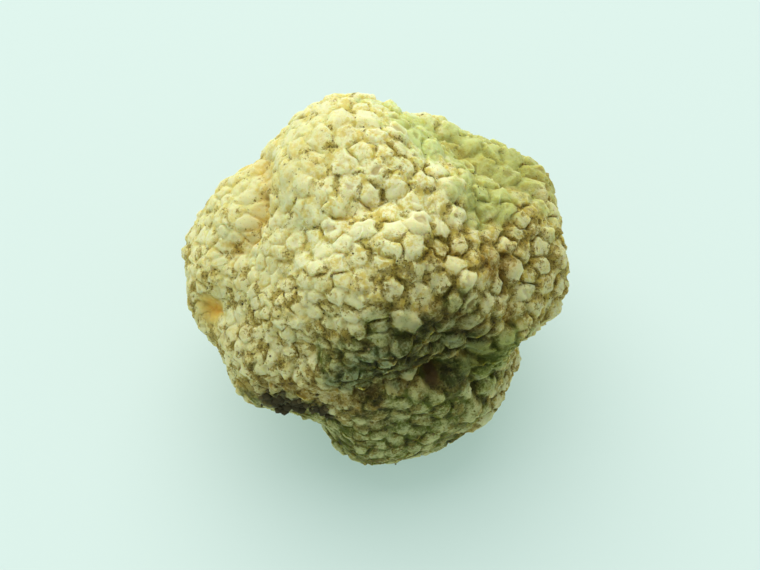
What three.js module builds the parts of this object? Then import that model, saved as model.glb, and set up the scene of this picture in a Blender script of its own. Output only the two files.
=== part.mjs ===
// A white truffle, in one piece: a knobbly rounded body with a deep furrow under its front, covered all over
// with angular warts, and pressed flat where it rests. Millimetres, +Z up, +X to the truffle's right and -Y to
// its front. The origin is the middle of the flat spot that it rests on.
import * as THREE from "three";
import { ConvexHull } from "three/addons/math/ConvexHull.js";

// ---- Driving dimensions ----

const MIDDLE_HEIGHT = 19.3; // the middle of the body, above the surface that the truffle rests on
const MEAN_RADIUS = 20; // turns an angle seen from the middle into a length along the skin

// The body is the union of balls that swell out round its middle. `at` is each ball's centre from the middle.
const LOBES = [
  { name: "core", at: [0, 0, 0], radius: 17.6 },
  { name: "crown", at: [-2.2, 5, 7.2], radius: 12.6 },
  { name: "belly", at: [2.5, -4, 6], radius: 12.2 },
  { name: "nape", at: [4.5, 8, 1.5], radius: 10.8 },
  { name: "left knob", at: [-14.3, 0.4, 1.6], radius: 8.5 },
  { name: "left shoulder", at: [-12, 4, 4.8], radius: 7.2 },
  { name: "lower left", at: [-10.1, -6.8, -1], radius: 8.7 },
  { name: "front left foot", at: [-5.2, -7.8, -4.2], radius: 7.2 },
  { name: "front foot", at: [1.8, -9.6, -9.6], radius: 9 },
  { name: "foot corner", at: [0.1, -12.2, -9.9], radius: 5.7 },
  { name: "front right foot", at: [7, -7.8, -7.4], radius: 8.8 },
  { name: "right cheek", at: [11, -0.8, 3], radius: 10.2 },
  { name: "right shoulder", at: [10.6, 3.9, 3], radius: 11 },
  { name: "right rear", at: [6.5, 5.5, -6], radius: 11.2 },
  { name: "rear", at: [-3, 8.2, -4.5], radius: 11.6 },
  { name: "left rear", at: [-8.5, 2.5, -6], radius: 10.5 },
  { name: "underside", at: [0.5, 0, -8.6], radius: 12.4 },
];
const LOBE_BLEND = 3.2; // how far the crease between two balls is filled

// Furrows run along the skin. Each point of a path is its azimuth from +X towards +Y and its elevation, both
// in degrees and seen from the middle, and then the furrow's depth there.
const FURROWS = [
  {
    name: "front furrow",
    width: 2.4,
    path: [
      [-112, 4, 0],
      [-101, 10, 0.7],
      [-91, 12, 1.2],
      [-80, 13, 1.4],
      [-68, 14, 1.5],
      [-57, 14, 1.4],
      [-48, 15, 1.1],
      [-41, 18, 0.7],
      [-34, 15, 0],
    ],
  },
  {
    name: "left valley",
    width: 1.9,
    path: [
      [140, 4, 0],
      [143, 20, 1],
      [148, 38, 1.2],
      [158, 48, 1.4],
      [171, 46, 1.5],
      [-175, 40, 1.5],
      [-173, 30, 1],
      [-171, 20, 0],
    ],
  },
  {
    name: "right valley",
    width: 1.8,
    path: [
      [84, 44, 0],
      [62, 46, 0.8],
      [49, 44, 1.1],
      [33, 43, 1.1],
      [18, 40, 0.8],
      [4, 32, 0],
    ],
  },
  {
    name: "crown crease",
    width: 1.4,
    path: [
      [-140, 66, 0],
      [-138, 76, 0.9],
      [-125, 84, 1],
      [-30, 86, 0.8],
      [0, 80, 0],
    ],
  },
  { name: "belly crease", width: 1.4, path: [[-62, 68, 0], [-38, 59, 1], [-24, 47, 0.2]] },
  {
    name: "flank crease",
    width: 1.3,
    path: [
      [-13, 43, 0],
      [-24, 38, 0.8],
      [-30, 30, 1],
      [-32, 20, 0.9],
      [-33, 14, 0],
    ],
  },
  { name: "foot groove", width: 1, path: [[-46, 28, 0.5], [-48, 14, 1.1], [-51, 1, 1.1], [-53, -10, 0]] },
  {
    name: "rear furrow",
    width: 1.9,
    path: [
      [158, -6, 0],
      [128, 4, 1.5],
      [104, -2, 1.9],
      [82, 8, 1.2],
      [66, 26, 0],
    ],
  },
  { name: "right furrow", width: 1.7, path: [[28, 12, 0], [20, -6, 1.4], [4, -18, 1.7], [-14, -22, 0]] },
  {
    name: "under furrow",
    width: 1.8,
    path: [
      [-168, -14, 0],
      [-176, -32, 1.6],
      [160, -44, 1.3],
      [120, -40, 0],
    ],
  },
];

// Round hollows, placed in the same way. `bald` is the share by which the warts fade out in the middle of one.
const HOLLOWS = [
  { name: "deep pit", at: [-66, 13], depth: 1.3, width: 1.7, bald: 0.9 },
  { name: "left scar", at: [-162, 10], depth: 1.4, width: 1.9, bald: 0.8 },
  { name: "front hollow", at: [-64, 29], depth: 2.5, width: 5.8, bald: 0 },
  { name: "dark notch", at: [-117, -9], depth: 0.8, width: 2, bald: 0.3 },
  { name: "rear dimple", at: [70, -16], depth: 1.8, width: 3, bald: 0.2 },
];

// Low swellings all over, as a sum of plane waves through the body.
const SWELL = { waves: 9, height: 0.16, longest: 11, shortest: 6 };

// Warts. `width` and `height` are the largest wart's and `groove` is the depth between warts. `unevenness` is
// how much smaller the smallest ones are. The warts are finer within `spread` degrees of a place on the left.
const WARTS = { width: 3.2, height: 0.85, groove: 0.26, unevenness: 0.5 };
const FINE_WARTS = { at: [-138, 2], spread: 58, fade: 24, width: 1.9, height: 0.4, groove: 0.14 };

// Places where the warts are low and soft. `share` of their height and of the grooves' depth is gone there.
const LOW_WARTS = [
  { name: "upper left", at: [152, 40], spread: 34, fade: 18, share: 0.35 },
  { name: "foot", at: [-80, -16], spread: 28, fade: 14, share: 0.45 },
];

const FLAT_SPOT_CLEARANCE = 6.6; // no tip is nearer than this to the middle of the flat spot
const TRIES = 36000; // how many places are drawn for a wart, most of them too near another
const SEED = 6;

const SKIN = { color: 0xded6a6, roughness: 0.78, metalness: 0 };

const GOLDEN_ANGLE = Math.PI * (3 - Math.sqrt(5));
const PROBE_ANGLE = 0.01; // radians between the points that a slope of the skin is taken from
const { clamp, degToRad, lerp, radToDeg, smoothstep } = THREE.MathUtils;

// ---- The body ----

function direction(azimuth, elevation) {
  const turn = degToRad(azimuth);
  const rise = degToRad(elevation);
  return new THREE.Vector3(Math.cos(rise) * Math.cos(turn), Math.cos(rise) * Math.sin(turn), Math.sin(rise));
}

// The length along the skin between two rays from the middle.
function skinDistance(rayA, rayB) {
  return rayA.distanceTo(rayB) * MEAN_RADIUS;
}

// 1 at no distance, fading out round a width as a bell curve does.
function bell(distance, width) {
  return Math.exp(-((distance / width) ** 2));
}

// The larger of two numbers, with the crease between them filled.
function smoothMax(a, b) {
  const overlap = Math.max(LOBE_BLEND - Math.abs(a - b), 0) / LOBE_BLEND;
  return Math.max(a, b) + (overlap * overlap * LOBE_BLEND) / 4;
}

// How far a ball reaches along a ray from the middle. Where the ray misses the ball it falls away steeply.
function makeLobe({ at, radius }) {
  const centre = new THREE.Vector3(...at);
  const power = radius ** 2 - centre.lengthSq();
  return (ray) => {
    const along = ray.dot(centre);
    const square = power + along ** 2;
    return along + Math.sign(square) * Math.sqrt(Math.abs(square));
  };
}

// How deep a furrow is under a ray: a round-bottomed groove beside the nearest place on its path.
function makeFurrow({ width, path }) {
  const points = path.map(([azimuth, elevation]) => direction(azimuth, elevation));
  return (ray) => {
    let nearest = Infinity;
    let depth = 0;
    for (let i = 0; i + 1 < points.length; i++) {
      const leg = points[i + 1].clone().sub(points[i]);
      const share = clamp(ray.clone().sub(points[i]).dot(leg) / leg.lengthSq(), 0, 1);
      const distance = skinDistance(ray, leg.multiplyScalar(share).add(points[i]).normalize());
      if (distance < nearest) {
        nearest = distance;
        depth = lerp(path[i][2], path[i + 1][2], share);
      }
    }
    return depth * bell(nearest, width);
  };
}

// How far a place is inside a round hollow, from 0 to 1.
function makeHollow({ at, width }) {
  const centre = direction(...at);
  return (ray) => bell(skinDistance(ray, centre), width);
}

// One plane wave through the body. The waves' directions are spread evenly, in a spiral over a ball.
function makeWave(_, i) {
  const z = 1 - (2 * i + 1) / SWELL.waves;
  const across = Math.sqrt(1 - z ** 2);
  const vector = new THREE.Vector3(across * Math.cos(i * GOLDEN_ANGLE), across * Math.sin(i * GOLDEN_ANGLE), z);
  const length = lerp(SWELL.longest, SWELL.shortest, i / (SWELL.waves - 1));
  vector.multiplyScalar((2 * Math.PI * MEAN_RADIUS) / length);
  return (ray) => SWELL.height * Math.sin(ray.dot(vector) + i * GOLDEN_ANGLE);
}

const lobes = LOBES.map(makeLobe);
const furrows = FURROWS.map(makeFurrow);
const hollows = HOLLOWS.map(makeHollow);
const waves = Array.from({ length: SWELL.waves }, makeWave);

function bodyRadius(ray) {
  let radius = lobes.map((reach) => reach(ray)).reduce(smoothMax);
  for (const wave of waves) radius += wave(ray);
  for (const furrow of furrows) radius -= furrow(ray);
  hollows.forEach((inside, i) => (radius -= HOLLOWS[i].depth * inside(ray)));
  return radius;
}

// A point below the surface that the truffle rests on moves in along its ray, and so the underside is flat.
function pressFlat(point) {
  return -point.z > MIDDLE_HEIGHT ? point.multiplyScalar(-MIDDLE_HEIGHT / point.z) : point;
}

function bodyPoint(ray) {
  return pressFlat(ray.clone().multiplyScalar(bodyRadius(ray)));
}

// The skin's outward direction, from four points close round a ray.
function outward(ray) {
  const across = new THREE.Vector3(-ray.y, ray.x, 0).normalize();
  const along = ray.clone().cross(across);
  const slope = (side) => {
    const ahead = bodyPoint(ray.clone().addScaledVector(side, PROBE_ANGLE).normalize());
    const behind = bodyPoint(ray.clone().addScaledVector(side, -PROBE_ANGLE).normalize());
    return ahead.sub(behind);
  };
  return slope(across).cross(slope(along)).normalize();
}

// ---- The warts ----

// Numbers from 0 to 1, the same at every run.
function seededRandom(seed) {
  let state = seed;
  return () => {
    state = (Math.imul(state, 1664525) + 1013904223) >>> 0;
    return state / 2 ** 32;
  };
}

// From 0 outside a round patch of the skin to 1 inside it.
function inPatch(ray, { at, spread, fade }) {
  return 1 - smoothstep(radToDeg(ray.angleTo(direction(...at))), spread - fade, spread + fade);
}

// From 0 where the warts are coarse to 1 where they are fine.
function fineness(ray) {
  return inPatch(ray, FINE_WARTS);
}

// The share of the warts' height and of the grooves' depth that is left, from 0 to 1.
function fullness(ray) {
  const bald = hollows.reduce((sum, inside, i) => sum + HOLLOWS[i].bald * inside(ray), 0);
  const low = Math.max(...LOW_WARTS.map((patch) => patch.share * inPatch(ray, patch)));
  return (1 - bald) * (1 - low);
}

// Draws places at random and keeps each one that is far enough from the warts already there. The first one is
// the flat spot's own.
function scatterWarts() {
  const random = seededRandom(SEED);
  const down = new THREE.Vector3(0, 0, -1);
  const spot = { ray: down, point: bodyPoint(down), height: 0, width: 0 };
  const warts = [spot];
  for (let i = 0; i < TRIES; i++) {
    const z = 1 - 2 * random();
    const turn = 2 * Math.PI * random();
    const luck = random();
    const across = Math.sqrt(1 - z ** 2);
    const ray = new THREE.Vector3(across * Math.cos(turn), across * Math.sin(turn), z);
    const point = bodyPoint(ray);
    const fine = fineness(ray);
    const size = 1 - WARTS.unevenness * luck;
    const width = size * lerp(WARTS.width, FINE_WARTS.width, fine);
    const height = size * lerp(WARTS.height, FINE_WARTS.height, fine) * fullness(ray);
    const crowded = warts.some((wart) => wart.point.distanceTo(point) < (wart.width + width) / 2);
    if (crowded || point.distanceTo(spot.point) < FLAT_SPOT_CLEARANCE) continue;
    warts.push({ ray, point, height, width });
  }
  return warts;
}

// A tip stands up from the body, half along the ray and half square to the skin.
function wartTip({ ray, point, height }) {
  const lean = outward(ray).add(ray).normalize();
  return pressFlat(point.clone().addScaledVector(lean, height));
}

// The low corner where three warts meet: between the middle of their triangle and its circumcentre.
function wartCorner(face) {
  const ray = face.midpoint.clone().normalize().add(face.normal).normalize();
  const groove = lerp(WARTS.groove, FINE_WARTS.groove, fineness(ray)) * fullness(ray);
  return pressFlat(ray.multiplyScalar(bodyRadius(ray) - groove));
}

// Joins each tip to the corners round it. Every edge of the hull over the tips gives one facet, from the tip
// that it starts at to the corners on its two sides.
function wartySkin(warts) {
  const faces = new ConvexHull().setFromPoints(warts.map((wart) => wart.ray)).faces;
  const tipIndex = new Map(warts.map((wart, i) => [wart.ray, i]));
  const cornerIndex = new Map(faces.map((face, i) => [face, warts.length + i]));
  const facets = [];
  for (const face of faces) {
    for (const edge of [face.edge, face.edge.next, face.edge.prev]) {
      facets.push(tipIndex.get(edge.tail().point), cornerIndex.get(edge.twin.face), cornerIndex.get(face));
    }
  }
  const geometry = new THREE.BufferGeometry();
  geometry.setFromPoints([...warts.map(wartTip), ...faces.map(wartCorner)]);
  geometry.setIndex(facets);
  geometry.translate(0, 0, MIDDLE_HEIGHT);
  return geometry;
}

function truffle() {
  const mesh = new THREE.Mesh(wartySkin(scatterWarts()), new THREE.MeshStandardMaterial(SKIN));
  mesh.name = "truffle";
  return mesh;
}

const part = new THREE.Group();
part.add(truffle());

export default part;
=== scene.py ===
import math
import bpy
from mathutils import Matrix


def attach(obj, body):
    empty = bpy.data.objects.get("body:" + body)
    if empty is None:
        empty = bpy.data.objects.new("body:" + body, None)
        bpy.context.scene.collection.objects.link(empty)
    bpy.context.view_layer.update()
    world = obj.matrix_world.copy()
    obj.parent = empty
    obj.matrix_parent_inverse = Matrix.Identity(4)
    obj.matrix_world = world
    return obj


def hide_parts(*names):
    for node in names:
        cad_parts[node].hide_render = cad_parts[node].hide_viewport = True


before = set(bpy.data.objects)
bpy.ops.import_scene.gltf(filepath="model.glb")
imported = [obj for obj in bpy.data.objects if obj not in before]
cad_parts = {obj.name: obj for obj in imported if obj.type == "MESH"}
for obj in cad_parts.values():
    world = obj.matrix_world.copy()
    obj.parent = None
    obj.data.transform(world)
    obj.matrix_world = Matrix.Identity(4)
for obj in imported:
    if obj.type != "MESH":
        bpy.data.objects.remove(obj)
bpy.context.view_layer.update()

# A white truffle with its warty skin, the soil that is left in its grooves, and a plain studio round it.

from types import SimpleNamespace

import bmesh
import bpy
import numpy as np
from bpy.props import FloatProperty, FloatVectorProperty, IntProperty, PointerProperty
from mathutils import Vector

bl_info = {
    "name": "White truffle",
    "version": (1, 0, 0),
    "blender": (4, 5, 0),
    "location": "3D View > Sidebar > Truffle",
    "description": "Adds a warty white truffle with grains of soil, and a plain studio",
    "category": "Add Mesh",
}

NODE = "truffle"
SKIN_NAME = "truffle_skin"
MM = 0.001

# ---- The body's form, in millimetres and degrees, as in the solid ----

MIDDLE_HEIGHT = 19.3  # the middle of the body, above the surface that the truffle rests on
MEAN_RADIUS = 20.0  # turns an angle seen from the middle into a length along the skin

# Balls round the middle, whose union is the body: centre x, y, z and radius.
LOBES = {
    "core": (0, 0, 0, 17.6),
    "crown": (-2.2, 5, 7.2, 12.6),
    "belly": (2.5, -4, 6, 12.2),
    "nape": (4.5, 8, 1.5, 10.8),
    "left knob": (-14.3, 0.4, 1.6, 8.5),
    "left shoulder": (-12, 4, 4.8, 7.2),
    "lower left": (-10.1, -6.8, -1, 8.7),
    "front left foot": (-5.2, -7.8, -4.2, 7.2),
    "front foot": (1.8, -9.6, -9.6, 9),
    "foot corner": (0.1, -12.2, -9.9, 5.7),
    "front right foot": (7, -7.8, -7.4, 8.8),
    "right cheek": (11, -0.8, 3, 10.2),
    "right shoulder": (10.6, 3.9, 3, 11),
    "right rear": (6.5, 5.5, -6, 11.2),
    "rear": (-3, 8.2, -4.5, 11.6),
    "left rear": (-8.5, 2.5, -6, 10.5),
    "underside": (0.5, 0, -8.6, 12.4),
}
LOBE_BLEND = 3.2  # how far the crease between two balls is filled

# Furrows along the skin: a width, and points of azimuth from +X towards +Y, elevation, and depth.
FURROWS = {
    "front furrow": (
        2.4,
        [
            (-112, 4, 0),
            (-101, 10, 0.7),
            (-91, 12, 1.2),
            (-80, 13, 1.4),
            (-68, 14, 1.5),
            (-57, 14, 1.4),
            (-48, 15, 1.1),
            (-41, 18, 0.7),
            (-34, 15, 0),
        ],
    ),
    "left valley": (
        1.9,
        [
            (140, 4, 0),
            (143, 20, 1),
            (148, 38, 1.2),
            (158, 48, 1.4),
            (171, 46, 1.5),
            (-175, 40, 1.5),
            (-173, 30, 1),
            (-171, 20, 0),
        ],
    ),
    "right valley": (
        1.8,
        [
            (84, 44, 0),
            (62, 46, 0.8),
            (49, 44, 1.1),
            (33, 43, 1.1),
            (18, 40, 0.8),
            (4, 32, 0),
        ],
    ),
    "crown crease": (1.4, [(-140, 66, 0), (-138, 76, 0.9), (-125, 84, 1), (-30, 86, 0.8), (0, 80, 0)]),
    "belly crease": (1.4, [(-62, 68, 0), (-38, 59, 1), (-24, 47, 0.2)]),
    "flank crease": (1.3, [(-13, 43, 0), (-24, 38, 0.8), (-30, 30, 1), (-32, 20, 0.9), (-33, 14, 0)]),
    "foot groove": (1, [(-46, 28, 0.5), (-48, 14, 1.1), (-51, 1, 1.1), (-53, -10, 0)]),
    "rear furrow": (1.9, [(158, -6, 0), (128, 4, 1.5), (104, -2, 1.9), (82, 8, 1.2), (66, 26, 0)]),
    "right furrow": (1.7, [(28, 12, 0), (20, -6, 1.4), (4, -18, 1.7), (-14, -22, 0)]),
    "under furrow": (1.8, [(-168, -14, 0), (-176, -32, 1.6), (160, -44, 1.3), (120, -40, 0)]),
}

# Round hollows: azimuth, elevation, depth, width, and the share by which the warts fade out in the middle.
HOLLOWS = {
    "deep pit": (-66, 13, 1.3, 1.7, 0.9),
    "left scar": (-162, 10, 1.4, 1.9, 0.8),
    "front hollow": (-64, 29, 2.5, 5.8, 0),
    "dark notch": (-117, -9, 0.8, 2, 0.3),
    "rear dimple": (70, -16, 1.8, 3, 0.2),
}

# Low swellings all over, as a sum of plane waves: how many, height, longest and shortest.
SWELL_WAVES = 9
SWELL_HEIGHT = 0.16
SWELL_LONGEST = 11
SWELL_SHORTEST = 6

# Round patches of the skin: azimuth and elevation of the middle, and the degrees they reach and fade over.
FINE_WARTS = (-138, 2, 58, 24)
LOW_WARTS = {"upper left": (152, 40, 34, 18), "foot": (-80, -16, 28, 14)}
LOW_SHARES = {"upper left": 0.35, "foot": 0.45}  # how much of the warts' height is gone there
UNEVENNESS = 0.5  # how much smaller than the largest wart the smallest one is
FLAT_SPOT_CLEARANCE = 6.6  # no tip is nearer than this to the middle of the flat spot
TRIES = 36000  # how many places are drawn for a wart

GOLDEN_ANGLE = math.pi * (3 - math.sqrt(5))
PROBE_ANGLE = 0.01  # radians between the points that a slope of the skin is taken from
TINY = 1e-12  # keeps divisions by zero away
DRAW_FACTOR = 1664525  # of the random numbers that place the warts, as in the solid
DRAW_STEP = 1013904223
DRAW_RANGE = 2**32

# ---- The skin's fine form, and the places that differ on it ----

ROWS_AT = (0, 0.22, 0.42, 0.62, 0.79, 0.92, 1)  # rows of points, from a wart's middle to its groove
CRATER_ROWS = (1, 0.9, 0, 0, 0, 0, 0)  # how deep a crater is at each row
GROOVE_FROM = 0.6  # where the side of the groove starts, on the way from 0 at the middle to 1
MERGE_STEPS = 1e6  # a ray's length in small steps: rays that agree in whole steps are one ray
NEAR_POLE = 0.9  # a ray whose Z is more than this, either way, is near a pole

# Facets: each is a plane that falls outwards from a line at a distance from the wart's middle. Distances
# are shares of the wart's reach, and drops are shares of its height.
FACETS = 5  # round each wart
FACET_START = (0.0, 0.5)  # the distance at which a wart's facets start, drawn once for the wart
FACET_START_SPREAD = 0.2  # how much nearer or further each of them starts
FACET_LAST_START = 0.8
FACET_DROP = (0.4, 1.0)  # how far a facet falls on its way to the edge
FACET_EDGE = 1.05  # where the edge is taken to be
FACET_TURN_SPREAD = 0.35  # how unevenly they stand round the wart
LEAST_TOP = 0.12  # the share of a wart's height that the facets always leave

FUSED_SHARE = 0.56  # the share of neighbouring warts with hardly a groove between them
FUSED_LEVEL = -0.9  # the level of the groove in the middle between such warts
GROOVE_LEVELS = (0.1, 0.9)  # and between the others
CRATER_SHARE = 0.13  # the share of warts with a crater
CRATER_SIZES = (0.6, 1)  # the shallowest and the deepest of them
CRATER_DEPTH = 0.45  # the deepest one's depth, as a share of the wart's height
CRATER_LOSS = 2  # how fast they get shallower as the skin gets softer
MIDDLE_TONE = 0.5  # the tone down in the grooves, halfway between the darkest wart and the palest

# Ripples: the height, how many waves, and the longest and the shortest of them, all in millimetres.
LUMPS = ((0.12, 24, 2.4, 1), (0.08, 24, 1.2, 0.6))
LUMPS_MIDDLE = 0.15  # the lumps' height on average, which is taken off again
WARP = (0.14, 8, 2.2, 1.1)  # moves each point sideways
CRUMBS = 0.035  # how far each point is shaken at random, in millimetres
FINE_SOFTNESS = 0.75  # how soft the fine warts are, next to 1 for the low ones
LUMPS_LOST = 0.25  # the share of the lumps and of the crumbs that is gone on the fine warts
CRUMBS_LOST = 0.5

# Stained places on the skin, and the places of painted shade: the shady and the dark ones, and partly the
# pit. Azimuth, elevation and width in millimetres, in the order of the random draws.
STAINS_AND_SHADE = {
    "green": ((38, 36, 9), (12, 50, 5), (62, 52, 6), (-43, 8, 5)),
    # Painted shade on the underside, the lower lobe and the front hollow, with some green-grey stain.
    "shady": (
        (-72, -12, 12),
        (-100, -26, 9),
        (-42, 4, 7),
        (-120, -16, 7),
        (-100, 23, 5),
        (-84, 33, 6),
        (-55, 35, 4.5),
        (-92, 8, 3.6),
    ),
    # Painted shade in the front hollow and the fold above the lower lobe, with some green-black stain.
    "dark": (
        (-60, 28, 5),
        (-73, 28, 5.4),
        (-85, 23, 5),
        (-95, 20, 4),
        (-102, 15, 2.6),
        (-50, 22, 3.4),
        (-65, 15, 3.6),
        (-65, 36, 3.4),
        (-76, 36, 3),
        (-57, 9, 3.2),
    ),
    "soiled": ((-112, -7, 2.6), (-119, -6, 2.4), (-126, -4, 2)),
    # The pit's floor: soil, and painted shade of its depth.
    "pit": ((-66, 9.5, 1.35),),
    "brown": (
        (-119, 4, 3.8),
        (-107, 8, 4),
        (-95, 4, 4),
        (-88, -4, 3),
        (-128, 2, 2.2),
        (-28, 44, 2),
        (-22, 38, 2),
    ),
}
STAIN_AND_SHADE_EDGE = (0.13, 16, 4, 0.9)  # the ripple that frays the edge of a stained or shaded place, whose height is a share
STAIN_AND_SHADE_FROM, STAIN_AND_SHADE_TO = 0.2, 0.75  # a place's share at its outer edge, and where its stain or painted shade is full
PALE_SIDE = (140, 58)  # the azimuth and elevation of the cleanest, palest side, near the way to the lamp; the skin away from it is aged and painted darker as shade
AGE_AND_SHADE_EDGE = (0.06, 10, 9, 3)  # the ripple that frays that side's edge, whose height is a cosine
AGE_AND_SHADE_FROM, AGE_AND_SHADE_TO = 0.9, 0.3  # cosines of the angles from it where the skin starts to age and take painted shade, and where it is fully aged and shaded
DEEP_SHELTER = 3  # how far a furrow or hollow is carved, in millimetres, where the skin is fully sheltered

# ---- Sizes and odds of the soil ----

GRAINS = 600
GRAIN_SIZES = (0.05, 0.16)  # the smallest and the largest radius, in millimetres
GRAIN_STRETCH = (0.6, 1.25)  # of each of a grain's three axes
GRAIN_RAISED = 0.25  # how far a grain's middle is above the skin, as a share of its radius
SOILED_GRAINS = 3  # how many times its size is added to a grain on the soiled places
SOILED_ODDS = 9  # how likely a grain is there
PATCH_ODDS = 2  # and in the middle of a patch
STRAY_ODDS = 0.03  # and outside the patches
SOFT_LOSS = 0.9  # the share of the last two that is gone where the skin is soft
RELIEF_LOSS = 2.5  # how fast the odds fall from the grooves to the tops
PATCH_RIPPLE = (20, 5, 1.2)  # the patches' waves: how many, the longest and the shortest
PATCH_FROM, PATCH_TO = 0.2, 1.4  # the height of the ripple at a patch's edge, and where the patch is full
FLOOR_MARGIN = 1  # no grain is lower than this, in millimetres

# ---- Colours and grain of the skin ----

PAINTED = ("relief", "tone", "crater", "bald", "shelter", "soft", *STAINS_AND_SHADE, "aged")  # on the skin's points
# Cloudy patterns: millimetres between the blobs, detail and roughness.
PATTERNS = {
    "patch": (2.6, 4, 0.62),
    "smudge": (1.5, 5, 0.69),
    "lump": (1.1, 3, 0.6),
    "ragged": (0.75, 4, 0.66),
    "crumbly": (0.7, 5, 0.75),
    "gloss": (0.6, 3, 0.5),
    "mottle": (0.34, 4, 0.75),
    "dot": (0.27, 3, 0.65),
}
MIDDLE_RELIEF = 0.6  # the relief that calm places are evened out towards

# Colours that cover what is under them.
PALE_SMUDGE = (0.52, 0.42, 0.14)
SPECK = (0.12, 0.085, 0.02)
CRATER_FLOOR = (0.44, 0.30, 0.07)
WORN = ((0.82, 0.73, 0.36), (0.88, 0.63, 0.22))  # from the edge to the middle of a bare place
# The pit's floor is reddish-brown soil and painted shade of its depth.
PIT_FLOOR = (0.05, 0.024, 0.004)
SOIL_FLECK = (0.10, 0.085, 0.03)
PALE_GRAIN = (0.24, 0.18, 0.07)

# Tints that multiply what is under them, from the grooves or the dark spots to the tops or the pale spots.
FRESH = ((1, 0.99, 0.72), (1, 1, 0.88))
# The weathered tint is both yellowing with age and painted shade on the side away from the lamp.
WEATHERED_AND_SHADED = ((0.70, 0.62, 0.32), (0.805, 0.77, 0.595))
YOUNG = ((0.85, 0.79, 0.56), (0.79, 0.785, 0.71))
VALLEY = (0.96, 0.78, 0.52)
BROWNED = ((0.50, 0.38, 0.16), (0.82, 0.76, 0.66))
# Painted shade of the shady places, with some green-grey stain, lighter on the pale tops.
DIMMED = ((0.15, 0.20, 0.04), (0.66, 0.71, 0.58))
# Painted shade of the dark places in the front hollow, with some green-black stain.
DARKENED = ((0.09, 0.13, 0.034), (0.42, 0.51, 0.47))

# ---- The studio's sizes and colours ----

FLOOR_HALF = 1.5  # half the floor's width, in metres
FLOOR_MOTTLE = 60  # millimetres between the blobs of its unevenness
FLOOR_SHADE = 0.985  # the darker of its two shades
FLOOR_GLOW = (0.62, 0.92, 0.80)
LAMP_WAY = (-0.16, 0.5, 0.85)  # from the truffle to the lamp
LAMP_DISTANCE = 1.6  # in metres
LAMP_WIDTH = 2.2  # in metres
LAMP_COLOUR = (1.0, 0.985, 0.95)
SKY_COLOUR = (0.82, 0.97, 0.95)  # the light from all round
LENS = 76.6  # the camera's focal length, in millimetres
NEAR_CLIP = 0.01  # in metres
AIM_RIGHT, AIM_DOWN = 0.53, 0.88  # how far beside the body's middle the camera aims, in millimetres


class TruffleSettings(bpy.types.PropertyGroup):
    """The sizes and colours of the truffle"""

    wart_width: FloatProperty(
        name="Wart width", description="Width of the widest wart", default=3.2 * MM, unit="LENGTH"
    )
    wart_height: FloatProperty(
        name="Wart height", description="Height of the tallest wart", default=0.85 * MM, unit="LENGTH"
    )
    wart_groove: FloatProperty(
        name="Groove depth",
        description="Depth of the grooves between warts",
        default=0.26 * MM,
        unit="LENGTH",
    )
    fine_width: FloatProperty(
        name="Fine wart width",
        description="Width of the widest of the finer warts on the left",
        default=1.9 * MM,
        unit="LENGTH",
    )
    fine_height: FloatProperty(
        name="Fine wart height", description="Height of the finer warts", default=0.4 * MM, unit="LENGTH"
    )
    fine_groove: FloatProperty(
        name="Fine groove depth",
        description="Depth of the grooves between the finer warts",
        default=0.14 * MM,
        unit="LENGTH",
    )
    seed: IntProperty(name="Seed", description="Another number scatters the warts anew", default=6, min=0)
    cream: FloatVectorProperty(
        name="Cream", description="Colour of the palest warts", default=(0.73, 0.71, 0.49), subtype="COLOR"
    )
    straw: FloatVectorProperty(
        name="Straw", description="Colour of the darker warts", default=(0.60, 0.49, 0.155), subtype="COLOR"
    )
    ochre: FloatVectorProperty(
        name="Ochre", description="Colour down in the grooves", default=(0.33, 0.25, 0.05), subtype="COLOR"
    )
    moss: FloatVectorProperty(
        name="Green", description="Tint of the green side", default=(0.65, 0.79, 0.465), subtype="COLOR"
    )
    soil: FloatVectorProperty(
        name="Soil", description="Colour of the soil", default=(0.045, 0.036, 0.014), subtype="COLOR"
    )


class StudioSettings(bpy.types.PropertyGroup):
    """The floor, the lights and the camera"""

    floor_colour: FloatVectorProperty(
        name="Floor", description="Colour of the floor", default=(0.37, 0.385, 0.385), subtype="COLOR"
    )
    floor_glow: FloatProperty(
        name="Floor glow",
        description="Strength of the light that comes up through the floor",
        default=0.4,
        min=0,
    )
    lamp_power: FloatProperty(
        name="Lamp power", description="Power of the main lamp, in watts", default=33, min=0
    )
    fill: FloatProperty(
        name="Fill", description="Strength of the light from all round", default=0.68, min=0
    )
    camera_height: FloatProperty(
        name="Camera elevation",
        description="Angle of the camera above the floor",
        default=math.radians(60),
        subtype="ANGLE",
    )
    camera_distance: FloatProperty(
        name="Camera distance",
        description="From the camera to the middle of the truffle",
        default=0.193,
        unit="LENGTH",
    )


# ---- The body, worked out as whole arrays of rays from its middle ----


def direction(azimuth, elevation):
    """Unit vectors of the given azimuths and elevations, in degrees."""
    turn, rise = np.radians(azimuth), np.radians(elevation)
    return np.stack([np.cos(rise) * np.cos(turn), np.cos(rise) * np.sin(turn), np.sin(rise)], axis=-1)


def unit(vectors):
    """The vectors divided by their own lengths."""
    return vectors / np.linalg.norm(vectors, axis=-1, keepdims=True)


def smooth_step(value, low, high):
    """0 below low, 1 above high, and 3x² - 2x³ between them."""
    x = np.clip((value - low) / (high - low), 0, 1)
    return x * x * (3 - 2 * x)


def smooth_max(a, b):
    """The larger of the two, plus a quarter of the blend times the square of how far they overlap in it."""
    overlap = np.maximum(LOBE_BLEND - np.abs(a - b), 0) / LOBE_BLEND
    return np.maximum(a, b) + overlap**2 * LOBE_BLEND / 4


def lobe_reach(rays, x, y, z, radius):
    """How far a ball reaches along each ray: a + sqrt(r² - c² + a²), where c is its centre's distance
    and a the part of that along the ray."""
    centre = np.array([x, y, z], float)
    along = rays @ centre
    square = radius**2 - centre @ centre + along**2
    return along + np.sign(square) * np.sqrt(np.abs(square))


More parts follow.
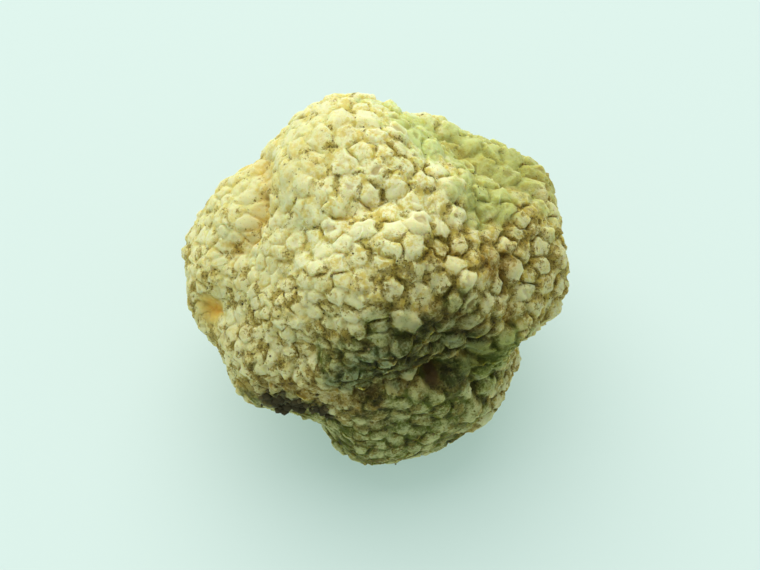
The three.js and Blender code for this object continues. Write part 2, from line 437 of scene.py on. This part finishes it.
def furrow_depth(rays, width, path):
    """A furrow's depth at the nearest place on its path, times exp(-(distance / width)²)."""
    azimuth, elevation, depths = np.array(path, float).T
    points = direction(azimuth, elevation)
    nearest = np.full(len(rays), np.inf)
    depth = np.zeros(len(rays))
    for start, end, depth_from, depth_to in zip(points, points[1:], depths, depths[1:]):
        leg = end - start
        share = np.clip((rays - start) @ leg / (leg @ leg), 0, 1)
        distance = np.linalg.norm(rays - unit(start + share[:, None] * leg), axis=1) * MEAN_RADIUS
        closer = distance < nearest
        nearest = np.where(closer, distance, nearest)
        depth = np.where(closer, depth_from + (depth_to - depth_from) * share, depth)
    return depth * np.exp(-((nearest / width) ** 2))


def hollow_share(rays, azimuth, elevation, width):
    """How far each ray is inside a round hollow: exp(-(distance / width)²)."""
    distance = np.linalg.norm(rays - direction(azimuth, elevation), axis=1) * MEAN_RADIUS
    return np.exp(-((distance / width) ** 2))


def swell(rays):
    """A sum of sines along evenly spread directions, each shorter than the one before it."""
    total = np.zeros(len(rays))
    for i in range(SWELL_WAVES):
        z = 1 - (2 * i + 1) / SWELL_WAVES
        across = math.sqrt(1 - z * z)
        vector = np.array([across * math.cos(i * GOLDEN_ANGLE), across * math.sin(i * GOLDEN_ANGLE), z])
        length = SWELL_LONGEST + (SWELL_SHORTEST - SWELL_LONGEST) * i / (SWELL_WAVES - 1)
        turns = 2 * math.pi * MEAN_RADIUS / length
        total += SWELL_HEIGHT * np.sin(rays @ vector * turns + i * GOLDEN_ANGLE)
    return total


def carved(rays):
    """How deep the furrows and the hollows are under each ray, together."""
    depth = sum(furrow_depth(rays, width, path) for width, path in FURROWS.values())
    for azimuth, elevation, deep, width, _ in HOLLOWS.values():
        depth += deep * hollow_share(rays, azimuth, elevation, width)
    return depth


def baldness(rays):
    """From 0 where the warts have their full height to 1 where they have none."""
    return sum(bald * hollow_share(rays, az, el, width) for az, el, _, width, bald in HOLLOWS.values())


def in_patch(rays, azimuth, elevation, spread, fade):
    """From 0 outside a round patch of the skin to 1 inside it."""
    angle = np.degrees(np.arccos(np.clip(rays @ direction(azimuth, elevation), -1, 1)))
    return 1 - smooth_step(angle, spread - fade, spread + fade)


def fineness(rays):
    """From 0 where the warts are coarse to 1 where they are fine."""
    return in_patch(rays, *FINE_WARTS)


def lowness(rays):
    """The share of the warts' height and of the grooves' depth that is gone where the warts are low."""
    return np.max([LOW_SHARES[name] * in_patch(rays, *patch) for name, patch in LOW_WARTS.items()], axis=0)


def body_radius(rays):
    """The smooth maximum of the lobes' reaches, plus the swellings, less the furrows and hollows."""
    reach = None
    for lobe in LOBES.values():
        next_reach = lobe_reach(rays, *lobe)
        reach = next_reach if reach is None else smooth_max(reach, next_reach)
    return reach + swell(rays) - carved(rays)


def press_flat(points):
    """Points below the surface that the truffle rests on move in along their rays to that surface."""
    return points * np.minimum(1, MIDDLE_HEIGHT / np.maximum(-points[:, 2:], TINY))


def body_points(rays):
    """The points of the body along the rays, from its middle."""
    return press_flat(rays * body_radius(rays)[:, None])


def outward(rays):
    """The cross product of the skin's two slopes at each ray."""
    across = unit(np.stack([-rays[:, 1], rays[:, 0], np.full(len(rays), TINY)], axis=1))
    along = np.cross(rays, across)
    slopes = [
        body_points(unit(rays + side * PROBE_ANGLE)) - body_points(unit(rays - side * PROBE_ANGLE))
        for side in (across, along)
    ]
    return unit(np.cross(*slopes))


# ---- Where the warts are ----


def seeded_numbers(seed, count):
    """The numbers of a linear congruential generator, from 0 to 1, as in the solid."""
    numbers = np.empty(count)
    state = seed
    for i in range(count):
        state = (state * DRAW_FACTOR + DRAW_STEP) % DRAW_RANGE
        numbers[i] = state / DRAW_RANGE
    return numbers


def scatter_warts(settings):
    """Rays of warts, drawn at random and kept where no earlier one is too near, and each one's luck."""
    draws = seeded_numbers(settings.seed, 3 * TRIES).reshape(-1, 3)
    z, turn = 1 - 2 * draws[:, 0], 2 * math.pi * draws[:, 1]
    across = np.sqrt(1 - z * z)
    rays = np.stack([across * np.cos(turn), across * np.sin(turn), z], axis=1)
    rays = np.vstack([[0, 0, -1], rays])
    luck = np.append(0, draws[:, 2])
    points = body_points(rays)
    coarse, fine = settings.wart_width / MM, settings.fine_width / MM
    width = (coarse + (fine - coarse) * fineness(rays)) * (1 - UNEVENNESS * luck)
    width[0] = 0
    kept = [0]
    away = np.linalg.norm(points - points[0], axis=1) >= FLAT_SPOT_CLEARANCE
    for i in np.flatnonzero(away):
        gaps = np.linalg.norm(points[kept] - points[i], axis=1) - (width[kept] + width[i]) / 2
        if np.min(gaps) >= 0:
            kept.append(i)
    return rays[kept], luck[kept]


def hull_triangles(rays):
    """The triangles between neighbouring rays, from their convex hull, turning left seen from outside."""
    mesh = bmesh.new()
    vertices = [mesh.verts.new(ray) for ray in rays]
    mesh.verts.index_update()
    bmesh.ops.convex_hull(mesh, input=vertices)
    bmesh.ops.triangulate(mesh, faces=mesh.faces)
    triangles = np.array([[vertex.index for vertex in face.verts] for face in mesh.faces])
    mesh.free()
    a, b, c = rays[triangles].transpose(1, 0, 2)
    inward = np.einsum("ij,ij->i", np.cross(b - a, c - a), a) < 0
    triangles[inward] = triangles[inward][:, ::-1]
    return triangles


def wart_corners(rays, triangles):
    """The low corner where three warts meet, between their middle and the axis of their triangle."""
    a, b, c = rays[triangles].transpose(1, 0, 2)
    return unit(unit(a + b + c) + unit(np.cross(b - a, c - a)))


def wart_wedges(triangles):
    """For each edge of a wart to its neighbour: the wart, the triangles on the edge's right and left, and
    the number of the same edge seen from the neighbour."""
    tails = triangles.ravel()
    heads = np.roll(triangles, -1, axis=1).ravel()
    left = np.repeat(np.arange(len(triangles)), 3)
    twin = np.empty(len(tails), int)
    twin[np.lexsort((heads, tails))] = np.lexsort((tails, heads))
    return tails, left[twin], left, twin


# ---- The skin ----


def ripple(rays, waves, longest, shortest, random):
    """A sum of sines of random directions and phases, with lengths from longest to shortest in millimetres.
    It is scaled so that its square is 1 on average."""
    total = np.zeros(len(rays))
    for length in np.linspace(longest, shortest, waves):
        vector = unit(random.normal(size=3)) * (2 * math.pi * MEAN_RADIUS / length)
        total += np.sin(rays @ vector + random.uniform(0, 2 * math.pi))
    return total * math.sqrt(2 / waves)


def wedge_grid():
    """The rows and the places along them of a triangular grid in a wedge, and its triangles, row by row."""
    rows = len(ROWS_AT)
    row = np.concatenate([np.full(i + 1, i) for i in range(rows)])
    step = np.concatenate([np.arange(i + 1) for i in range(rows)])
    first = np.arange(rows) * np.arange(1, rows + 1) // 2
    faces = []
    for i in range(rows - 1):
        for j in range(i + 1):
            faces.append((first[i] + j, first[i + 1] + j, first[i + 1] + j + 1))
            if j < i:
                faces.append((first[i] + j, first[i + 1] + j + 1, first[i] + j + 1))
    return row, step / np.maximum(row, 1), np.array(faces)


def tangents(rays):
    """Two unit vectors square to each ray and to each other. The first is also square to the Z axis, or
    near the poles to the X axis."""
    near_pole = np.abs(rays[:, 2:]) > NEAR_POLE
    side = np.where(near_pole, [[1.0, 0, 0]], [[0, 0, 1.0]])
    first = unit(np.cross(side, rays))
    return first, np.cross(rays, first)


def facet_drop(east, north, wart, reach, random):
    """How far the facets cut a wart down at each place, as a share of its height: the deepest of several
    planes, each falling outwards from a line at a random distance from the wart's middle."""
    warts = len(reach)
    block = random.uniform(*FACET_START, warts)
    turn = random.uniform(0, 2 * math.pi, warts)
    deepest = np.zeros_like(east)
    for i in range(FACETS):
        uneven = random.uniform(-FACET_TURN_SPREAD, FACET_TURN_SPREAD, warts)
        way = turn + (i + uneven) * 2 * math.pi / FACETS
        spread = random.uniform(-FACET_START_SPREAD, FACET_START_SPREAD, warts)
        start = reach * np.clip(block + spread, 0, FACET_LAST_START)
        slope = random.uniform(*FACET_DROP, warts) / (FACET_EDGE * reach - start)
        along = east * np.cos(way)[wart][:, None] + north * np.sin(way)[wart][:, None]
        deepest = np.maximum(deepest, slope[wart][:, None] * (along - start[wart][:, None]))
    return deepest


def groove_level(wart, left, right, twin, along, random):
    """The level of a groove at places along its length: 1 is its full depth, and it is below 0 where two
    warts are fused. It runs from corner to corner in a parabola through the level of its own middle."""
    fused = random.uniform(size=len(wart)) < FUSED_SHARE
    own = np.where(fused, FUSED_LEVEL, random.uniform(*GROOVE_LEVELS, len(wart)))
    own = own[np.minimum(np.arange(len(wart)), twin)]
    corner = np.maximum(own.reshape(-1, 3).mean(axis=1), 0)
    start, end = corner[right][:, None], corner[left][:, None]
    straight = start + (end - start) * along
    return straight + 4 * along * (1 - along) * (own[:, None] - (start + end) / 2)


def merged(rays, faces, values):
    """The same skin with each point that wedges share kept once: rays, triangles and values."""
    wedges = len(rays)
    rays = rays.reshape(-1, 3)
    whole = np.round(rays * MERGE_STEPS).astype(np.int64)
    _, first, index = np.unique(whole, axis=0, return_index=True, return_inverse=True)
    faces = index.reshape(wedges, -1)[:, faces].reshape(-1, 3)
    return rays[first], faces, {name: value.reshape(-1)[first] for name, value in values.items()}


def wart_points(warts, luck, triangles, random):
    """The rays of the skin's points, the triangles between them, and the values that shape each point.

    Every wedge between a wart's middle and an edge of its groove is a triangular grid."""
    corners = wart_corners(warts, triangles)
    wart, right, left, twin = wart_wedges(triangles)
    row, along, faces = wedge_grid()
    out = np.array(ROWS_AT)[row]
    middle = warts[wart][:, None]
    edge = corners[right][:, None] + (corners[left] - corners[right])[:, None] * along[:, None]
    rays = unit(middle + (edge - middle) * out[:, None])

    sides = np.linalg.norm(corners[left] - warts[wart], axis=1)
    reach = np.bincount(wart, sides) / np.bincount(wart) * MEAN_RADIUS
    offset = (rays - middle) * MEAN_RADIUS
    east, north = (np.einsum("wpk,wk->wp", offset, way[wart]) for way in tangents(warts))
    cratered = random.uniform(size=len(warts)) < CRATER_SHARE
    deep = np.where(cratered, random.uniform(*CRATER_SIZES, len(warts)), 0)
    everywhere = np.ones_like(east)
    values = {
        "drop": facet_drop(east, north, wart, reach, random),
        "level": groove_level(wart, left, right, twin, along, random),
        "side": smooth_step(out, GROOVE_FROM, 1) * everywhere,
        "crater": np.array(CRATER_ROWS)[row] * deep[wart][:, None],
        "tall": (1 - UNEVENNESS * luck)[wart][:, None] * everywhere,
        "tone": random.uniform(size=len(warts))[wart][:, None] * everywhere,
    }
    return merged(rays, faces, values)


def scaled_ripple(rays, height_and_waves, random):
    """A ripple times a height."""
    height, *waves = height_and_waves
    return height * ripple(rays, *waves, random)


def stain_and_shade_share(rays, places, random):
    """From 0 outside the stained or shaded places to 1 inside them, with a ragged edge."""
    share = np.max([hollow_share(rays, *place) for place in places], axis=0)
    return smooth_step(share + scaled_ripple(rays, STAIN_AND_SHADE_EDGE, random), STAIN_AND_SHADE_FROM, STAIN_AND_SHADE_TO)


def aged_and_shaded_share(rays, random):
    """From 0 on the skin's clean, pale side, which faces the lamp, to 1 where it is aged and painted as in
    shade, with a ragged edge.
    """
    facing = rays @ direction(*PALE_SIDE) + scaled_ripple(rays, AGE_AND_SHADE_EDGE, random)
    return 1 - smooth_step(facing, AGE_AND_SHADE_TO, AGE_AND_SHADE_FROM)


def lumps_and_crumbs(rays, fine, random):
    """How far small lumps and crumbs lift each point, in millimetres. The lumps are the absolute values of
    some ripples, less their average. The crumbs are random numbers. Both are smaller on the fine warts."""
    lumps = sum(np.abs(ripple(rays, *waves, random)) * height for height, *waves in LUMPS) - LUMPS_MIDDLE
    crumbs = CRUMBS * random.normal(size=len(rays))
    return lumps * (1 - LUMPS_LOST * fine), crumbs * (1 - CRUMBS_LOST * fine)


def wart_skin(settings):
    """Points, triangles and painted values of the whole skin.

    A wart stands up by its own height, less the drop of its facets, less a crater. Near its edge it comes
    down to the groove's level. Lumps and crumbs are added, all of it is less where the warts are low, and
    the points are moved sideways by ripples. Soft skin, where the warts are low or fine, has no craters."""
    random = np.random.default_rng(settings.seed)
    warts, luck = scatter_warts(settings)
    rays, faces, values = wart_points(warts, luck, hull_triangles(warts), random)
    fine, low = fineness(rays), lowness(rays)
    soft = np.maximum(low / max(LOW_SHARES.values()), FINE_SOFTNESS * fine)
    bald = np.clip(baldness(rays), 0, 1)
    crater = values["crater"] * np.clip(1 - CRATER_LOSS * soft, 0, 1)
    highest = (settings.wart_height + (settings.fine_height - settings.wart_height) * fine) / MM
    deepest = (settings.wart_groove + (settings.fine_groove - settings.wart_groove) * fine) / MM
    top = highest * values["tall"] * np.maximum(1 - values["drop"], LEAST_TOP)
    rise = top * (1 - values["side"]) - deepest * values["level"] * values["side"]
    lumps, crumbs = lumps_and_crumbs(rays, fine, random)
    height = (rise - CRATER_DEPTH * highest * crater) * (1 - bald) + lumps + crumbs
    height *= 1 - low

    warp = np.stack([scaled_ripple(rays, WARP, random) for _ in range(3)], axis=1)
    rays = unit(rays + warp / MEAN_RADIUS)
    lifted = unit(rays + outward(rays)) * height[:, None]
    points = press_flat(rays * body_radius(rays)[:, None] + lifted)
    points[:, 2] += MIDDLE_HEIGHT
    paint = {
        "relief": np.clip((rise + deepest) / (highest + deepest), 0, 1) * (1 - bald),
        "tone": MIDDLE_TONE + (values["tone"] - MIDDLE_TONE) * (1 - values["side"]),
        "crater": crater,
        "bald": bald,
        "shelter": np.clip(carved(rays) / DEEP_SHELTER, 0, 1),
        "soft": soft,
        # The stains, and the places of painted shade.
        **{name: stain_and_shade_share(rays, places, random) for name, places in STAINS_AND_SHADE.items()},
        "aged": aged_and_shaded_share(rays, random),
    }
    return points * MM, faces, paint


# ---- The soil ----


def unit_ball():
    """The 12 points of a ball of radius 1, and its 20 triangles."""
    mesh = bmesh.new()
    bmesh.ops.create_icosphere(mesh, subdivisions=1, radius=1)
    points = np.array([vertex.co for vertex in mesh.verts])
    faces = np.array([[vertex.index for vertex in face.verts] for face in mesh.faces])
    mesh.free()
    return points, faces


def read_values(collection, name, width):
    """One row of numbers for each item of a mesh's collection."""
    values = np.empty(len(collection) * width, np.float32)
    collection.foreach_get(name, values)
    return values.reshape(-1, width).astype(float)


def grain_odds(points, relief, soiled, soft, random):
    """How likely a grain lies at each point of the skin: likely on the soiled places and in patches, and
    less so where the skin is soft and towards the tops of the warts."""
    rays = unit(points - (0, 0, MIDDLE_HEIGHT))
    patches = smooth_step(ripple(rays, *PATCH_RIPPLE, random), PATCH_FROM, PATCH_TO)
    odds = (STRAY_ODDS + PATCH_ODDS * patches**2) * (1 - SOFT_LOSS * soft) + SOILED_ODDS * soiled
    return odds * np.exp(-RELIEF_LOSS * relief) * (points[:, 2] > FLOOR_MARGIN)


def soil_grains(skin, settings):
    """Points and triangles of the grains of soil, and how pale each point is.

    Each grain is a 20-sided ball, stretched, turned at random and partly sunk into the skin, at a point of
    the skin drawn by its odds. The grains of the soiled places are larger and darker."""
    random = np.random.default_rng(settings.seed + 1)
    mesh = skin.data
    points = read_values(mesh.vertices, "co", 3) / MM
    normals = read_values(mesh.vertex_normals, "vector", 3)
    relief, soiled, soft = (
        read_values(mesh.attributes[name].data, "value", 1)[:, 0] for name in ("relief", "soiled", "soft")
    )
    odds = grain_odds(points, relief, soiled, soft, random)
    places = random.choice(len(points), GRAINS, replace=False, p=odds / odds.sum())

    smallest, largest = GRAIN_SIZES
    size = smallest + (largest - smallest) * random.uniform(size=GRAINS) ** 2
    size *= 1 + SOILED_GRAINS * soiled[places]
    ball, ball_faces = unit_ball()
    stretched = ball * (size[:, None] * random.uniform(*GRAIN_STRETCH, (GRAINS, 3)))[:, None]
    turns, _ = np.linalg.qr(random.normal(size=(GRAINS, 3, 3)))
    turns *= np.sign(np.linalg.det(turns))[:, None, None]
    centres = points[places] + normals[places] * (GRAIN_RAISED * size)[:, None]
    grains = centres[:, None] + np.einsum("gij,gpj->gpi", turns, stretched)
    faces = ball_faces + (np.arange(GRAINS) * len(ball))[:, None, None]
    tone = np.repeat(random.uniform(size=GRAINS) * (1 - soiled[places]), len(ball))
    return grains.reshape(-1, 3) * MM, faces.reshape(-1, 3), {"tone": tone}


def mesh_object(name, points, faces, paint):
    """A smooth mesh object from arrays, with one value a point for each name in paint."""
    mesh = bpy.data.meshes.new(name)
    mesh.vertices.add(len(points))
    mesh.vertices.foreach_set("co", points.astype(np.float32).ravel())
    mesh.loops.add(faces.size)
    mesh.loops.foreach_set("vertex_index", faces.astype(np.int32).ravel())
    mesh.polygons.add(len(faces))
    mesh.polygons.foreach_set("loop_start", np.arange(0, faces.size, 3, dtype=np.int32))
    mesh.polygons.foreach_set("use_smooth", np.ones(len(faces), bool))
    mesh.update(calc_edges=True)
    mesh.validate()
    for label, values in paint.items():
        attribute = mesh.attributes.new(label, "FLOAT", "POINT")
        attribute.data.foreach_set("value", values.astype(np.float32))
    piece = bpy.data.objects.new(name, mesh)
    bpy.context.scene.collection.objects.link(piece)
    return piece


# ---- Materials ----


class Nodes:
    """A short way to write a material's nodes: each call adds one node and returns its first output."""

    def __init__(self, name):
        self.material = bpy.data.materials.new(name)
        self.material.use_nodes = True
        self.tree = self.material.node_tree
        self.shader = self.tree.nodes["Principled BSDF"]

    def put(self, socket, value):
        """Links an output to the socket, or sets the socket to a plain value."""
        if isinstance(value, bpy.types.NodeSocket):
            self.tree.links.new(value, socket)
        elif hasattr(value, "__len__") and len(socket.default_value) == len(value) + 1:
            socket.default_value = (*value, 1)
        else:
            socket.default_value = value

    def add(self, kind, inputs, output=0, **settings):
        """A node of the kind, with its settings and its inputs by name or number."""
        node = self.tree.nodes.new(kind)
        for key, value in settings.items():
            setattr(node, key, value)
        for key, value in inputs.items():
            self.put(node.inputs[key], value)
        return node.outputs[output]

    def place(self):
        """The place on the piece, in metres."""
        return self.add("ShaderNodeTexCoord", {}, output="Object")

    def painted(self, label):
        """A value painted on the piece's points."""
        return self.add("ShaderNodeAttribute", {}, output="Fac", attribute_name=label)

    def math(self, operation, *values):
        """Arithmetic on numbers."""
        return self.add("ShaderNodeMath", dict(enumerate(values)), operation=operation)

    def times(self, first, second):
        """The product of two numbers."""
        return self.math("MULTIPLY", first, second)

    def weighed(self, *terms):
        """The sum of some values, each times its own weight."""
        total = 0
        for value, weight in terms:
            total = self.math("MULTIPLY_ADD", value, weight, total)
        return total

    def noise(self, size, detail=2.0, roughness=0.5):
        """Cloudy noise whose blobs are about so many millimetres apart."""
        scale = 1 / (size * MM)
        inputs = {"Vector": self.place(), "Scale": scale, "Detail": detail, "Roughness": roughness}
        return self.add("ShaderNodeTexNoise", inputs)

    def ramp(self, value, low, high, to_low=0.0, to_high=1.0):
        """A smooth step of the value from low to high."""
        inputs = {"Value": value, "From Min": low, "From Max": high, "To Min": to_low, "To Max": to_high}
        return self.add("ShaderNodeMapRange", inputs, interpolation_type="SMOOTHSTEP")

    def fade(self, value, at_none, at_full):
        """A smooth step from one number to another as the value goes from 0 to 1."""
        return self.ramp(value, 0, 1, at_none, at_full)

    def mix(self, share, first, second, blend="MIX"):
        """A mix of two colours."""
        inputs = {"Factor": share, 6: first, 7: second}
        return self.add("ShaderNodeMix", inputs, output=2, data_type="RGBA", blend_type=blend)

    def between(self, value, low, high, colours):
        """The first colour where the value is low, the second where it is high, and a mix between."""
        return self.mix(self.ramp(value, low, high), *colours)

    def tint(self, share, colour, by):
        """The colour multiplied by a share of a tint."""
        return self.mix(share, colour, by, "MULTIPLY")

    def set_shader(self, **values):
        """Sets the shader's own sockets, named with _ for a space."""
        for name, value in values.items():
            self.put(self.shader.inputs[name.replace("_", " ")], value)


def skin_values(n):
    """What is painted on the skin and the cloudy patterns over it, each under its name, and four values
    made of them: calm is where colours are even, and evened is the relief as it counts there. Young is
    the skin's soft and pale part, and pale says how clean a spot is."""
    v = SimpleNamespace()
    for name in PAINTED:
        setattr(v, name, n.painted(name))
    for name, pattern in PATTERNS.items():
        setattr(v, name, n.noise(*pattern))
    v.calm = n.math("MAXIMUM", v.soft, n.times(v.green, 0.7))
    above = n.math("SUBTRACT", v.relief, MIDDLE_RELIEF)
    v.evened = n.math("MULTIPLY_ADD", above, n.fade(v.calm, 1, 0.3), MIDDLE_RELIEF)
    v.young = n.times(v.soft, n.fade(v.aged, 1, 0))
    v.pale = n.weighed((v.evened, 0.5), (v.ragged, 2.3), (v.tone, 0.35), (v.patch, -1.1), (v.mottle, 1.1))
    return v


def smudged_colour(n, v, colour, ochre):
    """Ochre smudges in patches, mostly down in the grooves, and small dark specks, mostly in them."""
    amount = n.weighed(
        (v.smudge, 2.5), (v.patch, 1), (v.mottle, -0.5), (v.evened, -0.65), (v.aged, 0.22), (v.young, 0.04)
    )
    share = n.times(n.ramp(amount, 1.30, 1.52), n.fade(v.green, 0.85, 0.25))
    colour = n.mix(share, colour, n.mix(v.young, ochre, PALE_SMUDGE))
    specks = n.weighed((v.dot, 1), (share, 0.15), (v.relief, -0.04))
    return n.mix(n.ramp(specks, 0.625, 0.70, 0, 0.8), colour, SPECK)


def worn_colour(n, v, colour):
    """Brownish craters, and bare places that are orange in their middle."""
    colour = n.mix(n.times(v.crater, 0.75), colour, CRATER_FLOOR)
    bareness = n.weighed((v.bald, 1), (v.ragged, 0.6))
    return n.mix(n.ramp(v.bald, 0.1, 0.6, 0, 0.9), colour, n.between(bareness, 0.75, 1.15, WORN))


def aged_and_shaded_colour(n, v, colour):
    """Yellower with age, and darker away from the lamp as painted shade, above all down in the grooves, and
    even on the young part.
    """
    fresh, weathered_and_shaded = (n.between(v.relief, 0.1, 0.8, tints) for tints in (FRESH, WEATHERED_AND_SHADED))
    age_and_shade = n.times(v.aged, n.fade(v.soft, 1, 0.75))
    colour = n.tint(1, colour, n.mix(age_and_shade, fresh, weathered_and_shaded))
    return n.tint(v.young, colour, n.between(v.pale, 1.3, 1.9, YOUNG))


def stain_and_shade_colour(n, v, colour, moss):
    """Warm in the sheltered valleys, then the brown and green stains, then painted shade with some
    green-grey stain on the shady and dark places, and the pit. The shady places leave out the dark ones, so
    that no place is darkened twice."""
    valley = n.times(n.ramp(v.shelter, 0.12, 0.45), n.ramp(v.relief, 0.1, 0.9, 1, 0.4))
    colour = n.tint(valley, colour, VALLEY)
    colour = n.tint(v.brown, colour, n.between(v.pale, 1.2, 1.9, BROWNED))
    colour = n.tint(n.times(v.green, 0.75), colour, moss)
    # Painted shade: the shady places dimmed, lighter on the pale, high tops.
    shade = n.times(v.shady, n.fade(v.dark, 1, 0.1))
    lit = n.weighed((v.pale, 1), (v.relief, 0.8))
    colour = n.tint(shade, colour, n.between(lit, 1.65, 2.55, DIMMED))
    # Painted shade: the dark places of the front hollow, darker still, lighter on the pale tops.
    lit = n.weighed((v.pale, 1), (v.relief, 0.6))
    colour = n.tint(v.dark, colour, n.between(lit, 1.6, 2.45, DARKENED))
    # The pit's floor: soil, with painted shade of its depth.
    return n.mix(n.times(v.pit, 0.95), colour, PIT_FLOOR)


def dirtied_colour(n, v, colour, soil):
    """Soil over the soiled places and in the deepest furrows, with a crumbly edge."""
    dirt = n.weighed((v.soiled, 1.1), (v.shelter, 0.5), (v.crumbly, 1.2), (v.relief, -0.35), (v.bald, -1))
    return n.mix(n.ramp(dirt, 0.95, 1.4, 0, 0.95), colour, n.mix(v.mottle, soil, SOIL_FLECK))


def skin_material(settings):
    """Cream tops and straw sides, then smudges, wear, age and stains, the last two partly painted shade,
    and soil over them, in that order. The finest unevenness is bump, which is weaker where the skin is
    soft."""
    n = Nodes(SKIN_NAME)
    v = skin_values(n)
    palest = n.ramp(v.pale, 1.2, 1.74, n.fade(v.calm, 0, 0.45), n.fade(v.calm, 1, 0.9))
    colour = n.mix(palest, settings.straw, settings.cream)
    colour = smudged_colour(n, v, colour, settings.ochre)
    colour = worn_colour(n, v, colour)
    colour = aged_and_shaded_colour(n, v, colour)
    colour = stain_and_shade_colour(n, v, colour, settings.moss)
    colour = dirtied_colour(n, v, colour, settings.soil)
    bump = n.times(n.weighed((v.mottle, 1), (v.lump, 0.8)), n.fade(v.soft, 1, 0.25))
    n.set_shader(
        Base_Color=colour,
        Roughness=n.ramp(v.gloss, 0.3, 0.7, 0.55, 0.85),
        Normal=n.add("ShaderNodeBump", {"Height": bump, "Distance": 0.15 * MM, "Strength": 1.0}),
        Specular_IOR_Level=0.15,
        Subsurface_Weight=0.9,
        Subsurface_Radius=(1.0, 0.7, 0.3),
        Subsurface_Scale=2.2 * MM,
    )
    return n.material


def soil_material(settings):
    """Dark brown soil, with some grains paler than others."""
    n = Nodes("soil")
    colour = n.mix(n.painted("tone"), settings.soil, PALE_GRAIN)
    n.set_shader(Base_Color=colour, Roughness=0.9, Specular_IOR_Level=0.2)
    return n.material


def floor_material(settings):
    """A plain matte floor with the faintest unevenness and a weak light of its own."""
    n = Nodes("studio_floor")
    pale = tuple(settings.floor_colour)
    shade = tuple(FLOOR_SHADE * channel for channel in pale)
    n.set_shader(
        Base_Color=n.mix(n.noise(FLOOR_MOTTLE), pale, shade),
        Roughness=0.9,
        Specular_IOR_Level=0.2,
        Emission_Color=FLOOR_GLOW,
        Emission_Strength=settings.floor_glow,
    )
    return n.material


# ---- The studio's pieces ----


def add_floor(settings):
    """A level square under the truffle."""
    corners = FLOOR_HALF * np.array([(-1, -1, 0), (1, -1, 0), (1, 1, 0), (-1, 1, 0)])
    floor = mesh_object("floor", corners, np.array([(0, 1, 2), (0, 2, 3)]), {})
    floor.data.materials.append(floor_material(settings))


def placed(name, data, location, back):
    """A lamp or camera at a place, looking away from the direction back."""
    thing = bpy.data.objects.new(name, data)
    thing.location = location
    thing.rotation_euler = back.to_track_quat("Z", "Y").to_euler()
    bpy.context.scene.collection.objects.link(thing)
    return thing


def add_lamp(settings, middle):
    """One wide, round lamp above and behind, for soft light from the back."""
    way = Vector(LAMP_WAY).normalized()
    lamp = bpy.data.lights.new("key", "AREA")
    lamp.shape = "DISK"
    lamp.size = LAMP_WIDTH
    lamp.energy = settings.lamp_power
    lamp.color = LAMP_COLOUR
    placed("key", lamp, middle + way * LAMP_DISTANCE, way)


def add_sky(settings):
    """Even light from all round, and colours shown as they are."""
    world = bpy.data.worlds.new("studio")
    world.use_nodes = True
    background = world.node_tree.nodes["Background"]
    background.inputs["Color"].default_value = (*SKY_COLOUR, 1)
    background.inputs["Strength"].default_value = settings.fill
    bpy.context.scene.world = world
    bpy.context.scene.view_settings.view_transform = "Standard"


def add_camera(settings, middle):
    """The camera, above the front, aimed a little right of the body's middle and below it."""
    rise = settings.camera_height
    back = Vector((0, -math.cos(rise), math.sin(rise)))
    up = Vector((0, math.sin(rise), math.cos(rise)))
    camera = bpy.data.cameras.new("camera")
    camera.lens = LENS
    camera.clip_start = NEAR_CLIP
    aim = middle + Vector((AIM_RIGHT * MM, 0, 0)) - up * AIM_DOWN * MM
    bpy.context.scene.camera = placed("camera", camera, aim + back * settings.camera_distance, back)


# ---- Operators ----


class TRUFFLE_OT_skin(bpy.types.Operator):
    """Add the truffle's body with its warty skin"""

    bl_idname = "truffle.skin"
    bl_label = "Add truffle"

    def execute(self, context):
        settings = context.scene.truffle
        piece = mesh_object(SKIN_NAME, *wart_skin(settings))
        piece.data.materials.append(skin_material(settings))
        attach(piece, "root")
        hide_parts(NODE)
        return {"FINISHED"}


class TRUFFLE_OT_soil(bpy.types.Operator):
    """Scatter grains of soil over the truffle's skin"""

    bl_idname = "truffle.soil"
    bl_label = "Add soil"

    def execute(self, context):
        settings = context.scene.truffle
        piece = mesh_object("soil_grains", *soil_grains(bpy.data.objects[SKIN_NAME], settings))
        piece.data.materials.append(soil_material(settings))
        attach(piece, "root")
        return {"FINISHED"}


class TRUFFLE_OT_studio(bpy.types.Operator):
    """Add the floor, the lights and the camera"""

    bl_idname = "truffle.studio"
    bl_label = "Add studio"

    def execute(self, context):
        settings = context.scene.truffle_studio
        middle = Vector((0, 0, MIDDLE_HEIGHT * MM))
        add_floor(settings)
        add_lamp(settings, middle)
        add_sky(settings)
        add_camera(settings, middle)
        return {"FINISHED"}


class TRUFFLE_PT_panel(bpy.types.Panel):
    """The truffle's operators, sizes and colours"""

    bl_idname = "TRUFFLE_PT_panel"
    bl_label = "White truffle"
    bl_space_type = "VIEW_3D"
    bl_region_type = "UI"
    bl_category = "Truffle"

    def draw(self, context):
        layout = self.layout
        for operator in OPERATORS:
            layout.operator(operator.bl_idname)
        for settings in (context.scene.truffle, context.scene.truffle_studio):
            for name in settings.__annotations__:
                layout.prop(settings, name)


OPERATORS = (TRUFFLE_OT_skin, TRUFFLE_OT_soil, TRUFFLE_OT_studio)
CLASSES = (TruffleSettings, StudioSettings, *OPERATORS, TRUFFLE_PT_panel)


def register():
    for cls in CLASSES:
        bpy.utils.register_class(cls)
    bpy.types.Scene.truffle = PointerProperty(type=TruffleSettings)
    bpy.types.Scene.truffle_studio = PointerProperty(type=StudioSettings)


def unregister():
    del bpy.types.Scene.truffle_studio
    del bpy.types.Scene.truffle
    for cls in reversed(CLASSES):
        bpy.utils.unregister_class(cls)


def main():
    """Adds the pieces and the studio."""
    register()
    bpy.ops.truffle.skin()
    bpy.ops.truffle.soil()
    bpy.ops.truffle.studio()


if __name__ == "__main__":
    main()
